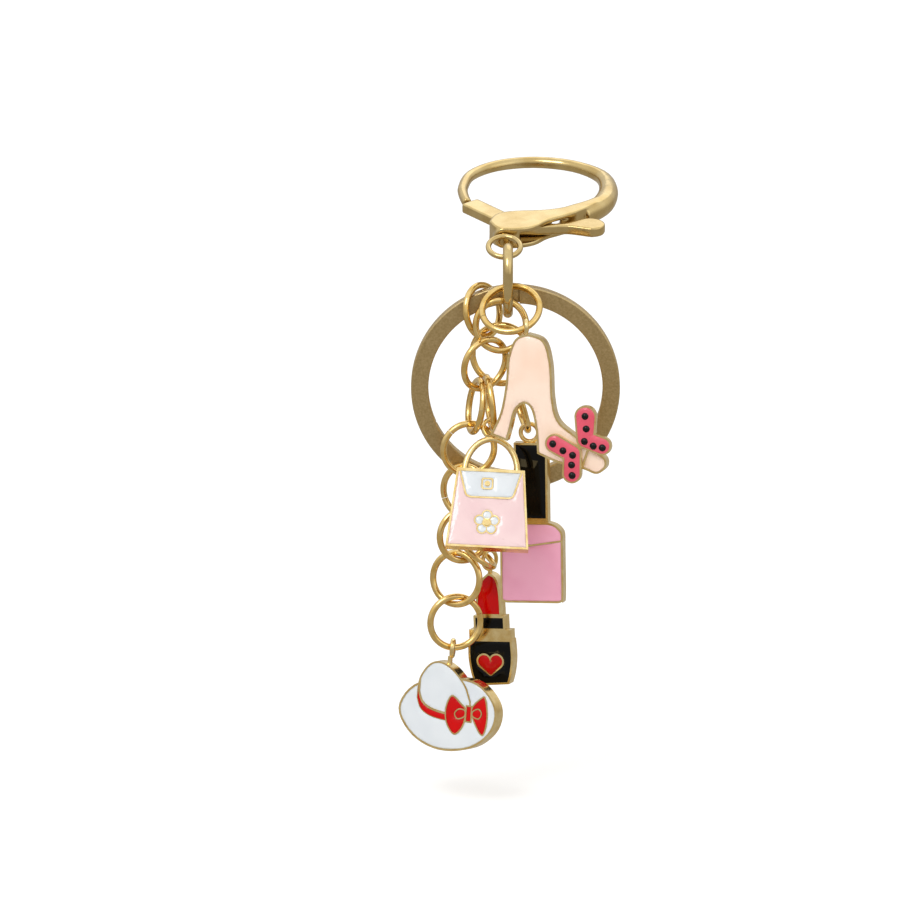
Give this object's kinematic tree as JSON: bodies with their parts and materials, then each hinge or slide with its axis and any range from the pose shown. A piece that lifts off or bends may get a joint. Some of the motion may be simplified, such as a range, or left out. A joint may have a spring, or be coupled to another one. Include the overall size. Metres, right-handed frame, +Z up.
{
  "type": "charm keychain",
  "caption": "Charm keychain with a trigger clasp, a flat split ring and enamelled shoe, handbag, nail polish, lipstick and sun hat charms on a short ring chain.",
  "frame": {"origin": "centre of the clasp's hook opening", "axes": "+Z up along the hanging chain, +Y away from the charms' faces, +X to the viewer's right"},
  "size_m": [0.0318, 0.0482, 0.0788],
  "materials": {
    "clasp_gold": "polished pale gold plate on die-cast zinc",
    "wire_gold": "polished gold plate on steel wire",
    "ring_brass": "brushed matte brass plate with bright edges",
    "charm_gold": "polished gold plate on a zinc casting",
    "spring_steel": "bare spring wire",
    "enamel_cream": "glossy soft enamel, peach cream",
    "enamel_coral": "glossy raised enamel, coral pink",
    "bead_black": "glossy black epoxy dots",
    "enamel_blush": "glossy soft enamel, blush pink",
    "enamel_white": "glossy soft enamel, cool white",
    "enamel_pink": "glossy soft enamel, rose pink",
    "enamel_black": "glossy soft enamel, black",
    "enamel_red": "glossy soft enamel, deep red"
  },
  "bodies": {
    "clasp": {"clasp_body": "clasp_gold", "lever_rivet": "clasp_gold", "lever_spring": "spring_steel"},
    "lever": {"clasp_lever": "clasp_gold"},
    "swivel": {"swivel_eye": "clasp_gold"},
    "link": {"oval_link": "clasp_gold"},
    "key_ring": {"split_ring": "ring_brass"},
    "shoe_jump": {"shoe_jump_ring": "wire_gold"},
    "shoe": {"shoe_casting": "charm_gold", "shoe_enamel": "enamel_cream", "bow_casting": "charm_gold", "bow_enamel": "enamel_coral", "bow_beads": "bead_black"},
    "bag_jump": {"bag_jump_ring": "wire_gold"},
    "bag": {"bag_casting": "charm_gold", "bag_body_enamel": "enamel_blush", "bag_flap_enamel": "enamel_white", "bag_flower_enamel": "enamel_white"},
    "polish_link_1": {"polish_ring_1": "wire_gold"},
    "polish_link_2": {"polish_ring_2": "wire_gold"},
    "polish_jump": {"polish_jump_ring": "wire_gold"},
    "polish": {"polish_casting": "charm_gold", "polish_cap_enamel": "enamel_black", "polish_bottle_enamel": "enamel_pink"},
    "lipstick_jump": {"lipstick_jump_ring": "wire_gold"},
    "lipstick": {"lipstick_casting": "charm_gold", "lipstick_bullet_enamel": "enamel_red", "lipstick_case_enamel": "enamel_black", "lipstick_heart_enamel": "enamel_red"},
    "hat": {"hat_casting": "charm_gold", "hat_white_enamel": "enamel_white", "hat_red_enamel": "enamel_red"},
    "chain_1": {"chain_ring_1": "wire_gold"},
    "chain_2": {"chain_ring_2": "wire_gold"},
    "chain_3": {"chain_ring_3": "wire_gold"},
    "chain_4": {"chain_ring_4": "wire_gold"},
    "chain_5": {"chain_ring_5": "wire_gold"},
    "chain_6": {"chain_ring_6": "wire_gold"},
    "chain_7": {"chain_ring_7": "wire_gold"},
    "chain_8": {"chain_ring_8": "wire_gold"}
  },
  "joints": [
    {"name": "lever_open", "type": "hinge", "parent": "clasp", "child": "lever", "pos_m": [-0.0026, -0.01418, -0.0025], "axis": [0, 0.1736, -0.9848], "range_deg": [0, 25], "stiffness_Nm_per_rad": 0.02, "springref_deg": -17.19},
    {"name": "swivel_turn", "type": "hinge", "parent": "clasp", "child": "swivel", "pos_m": [-0.0044, -0.01773, -0.00313], "axis": [0, -0.9848, -0.1736], "continuous": true},
    {"name": "link_swing", "type": "hinge", "parent": "swivel", "child": "link", "pos_m": [-0.00377, -0.02319, -0.00471], "axis": [1, 0, 0], "range_deg": [-20, 20]},
    {"name": "key_ring_swing", "type": "hinge", "parent": "link", "child": "key_ring", "pos_m": [-0.0039, -0.0213, -0.01232], "axis": [0, 0.829, 0.5592], "range_deg": [-10, 0]},
    {"name": "shoe_jump_swing", "type": "hinge", "parent": "link", "child": "shoe_jump", "pos_m": [-0.00419, -0.02418, -0.00892], "axis": [-0.9801, -0.0661, -0.1871], "range_deg": [0, 24]},
    {"name": "shoe_swing", "type": "hinge", "parent": "shoe_jump", "child": "shoe", "pos_m": [-0.0008, -0.03, -0.01311], "axis": [0.7481, 0.4642, 0.4742], "range_deg": [-24, 0]},
    {"name": "chain_1_swing", "type": "hinge", "parent": "link", "child": "chain_1", "pos_m": [-0.0049, -0.0254, -0.0143], "axis": [0.1078, -0.982, 0.1549], "range_deg": [-14, 0]},
    {"name": "chain_2_swing", "type": "hinge", "parent": "chain_1", "child": "chain_2", "pos_m": [-0.0072, -0.0262, -0.0198], "axis": [0.6038, -0.7817, -0.1563], "range_deg": [-16, 0]},
    {"name": "chain_3_swing", "type": "hinge", "parent": "chain_2", "child": "chain_3", "pos_m": [-0.00775, -0.02622, -0.02248], "axis": [0.1986, -0.9678, -0.1543], "range_deg": [-20, 0]},
    {"name": "bag_jump_swing", "type": "hinge", "parent": "chain_2", "child": "bag_jump", "pos_m": [-0.0065, -0.0267, -0.0254], "axis": [0.9881, 0.113, 0.1041], "range_deg": [-4, 8]},
    {"name": "bag_swing", "type": "hinge", "parent": "bag_jump", "child": "bag", "pos_m": [-0.00604, -0.02737, -0.02904], "axis": [0.0918, -0.9774, 0.1902], "range_deg": [-16, 20]},
    {"name": "chain_4_swing", "type": "hinge", "parent": "chain_3", "child": "chain_4", "pos_m": [-0.00917, -0.02576, -0.02976], "axis": [-0.2187, 0.9744, 0.0518], "range_deg": [0, 20]},
    {"name": "chain_5_swing", "type": "hinge", "parent": "chain_4", "child": "chain_5", "pos_m": [-0.01053, -0.02549, -0.03507], "axis": [-0.849, 0.4821, -0.2163], "range_deg": [-16, 20]},
    {"name": "chain_6_swing", "type": "hinge", "parent": "chain_5", "child": "chain_6", "pos_m": [-0.01013, -0.02601, -0.04242], "axis": [0.8636, -0.5014, -0.0523], "range_deg": [-20, 20]},
    {"name": "chain_7_swing", "type": "hinge", "parent": "chain_6", "child": "chain_7", "pos_m": [-0.0113, -0.0268, -0.0514], "axis": [0.4517, 0.8812, -0.1392], "range_deg": [-20, 20]},
    {"name": "chain_8_swing", "type": "hinge", "parent": "chain_7", "child": "chain_8", "pos_m": [-0.01228, -0.02687, -0.05499], "axis": [0.8528, -0.4723, -0.2226], "range_deg": [-20, 12]},
    {"name": "hat_swing", "type": "hinge", "parent": "chain_8", "child": "hat", "pos_m": [-0.01204, -0.02776, -0.06135], "axis": [0.9542, 0.2304, -0.1906], "range_deg": [-24, 24]},
    {"name": "lipstick_jump_swing", "type": "hinge", "parent": "chain_6", "child": "lipstick_jump", "pos_m": [-0.00764, -0.02527, -0.04764], "axis": [-0.6233, -0.278, -0.7309], "range_deg": [-20, 4]},
    {"name": "lipstick_swing", "type": "hinge", "parent": "lipstick_jump", "child": "lipstick", "pos_m": [-0.0069, -0.02312, -0.04895], "axis": [-0.6037, 0.6157, 0.5065], "range_deg": [-20, 4]},
    {"name": "polish_link_1_swing", "type": "hinge", "parent": "key_ring", "child": "polish_link_1", "pos_m": [-0.00871, -0.0227, -0.00939], "axis": [0, 0, 1], "range_deg": [-3, 1]},
    {"name": "polish_link_2_swing", "type": "hinge", "parent": "polish_link_1", "child": "polish_link_2", "pos_m": [-0.0048, -0.0227, -0.0192], "axis": [-0.1684, -0.9833, 0.0696], "range_deg": [0, 20]},
    {"name": "polish_jump_swing", "type": "hinge", "parent": "polish_link_2", "child": "polish_jump", "pos_m": [-0.0036, -0.02285, -0.02215], "axis": [-0.0286, 0.9292, -0.3685], "range_deg": [-20, 0]},
    {"name": "polish_swing", "type": "hinge", "parent": "polish_jump", "child": "polish", "pos_m": [-0.00161, -0.02513, -0.02916], "axis": [0, 0, 1], "range_deg": [-16, 20]}
  ]
}
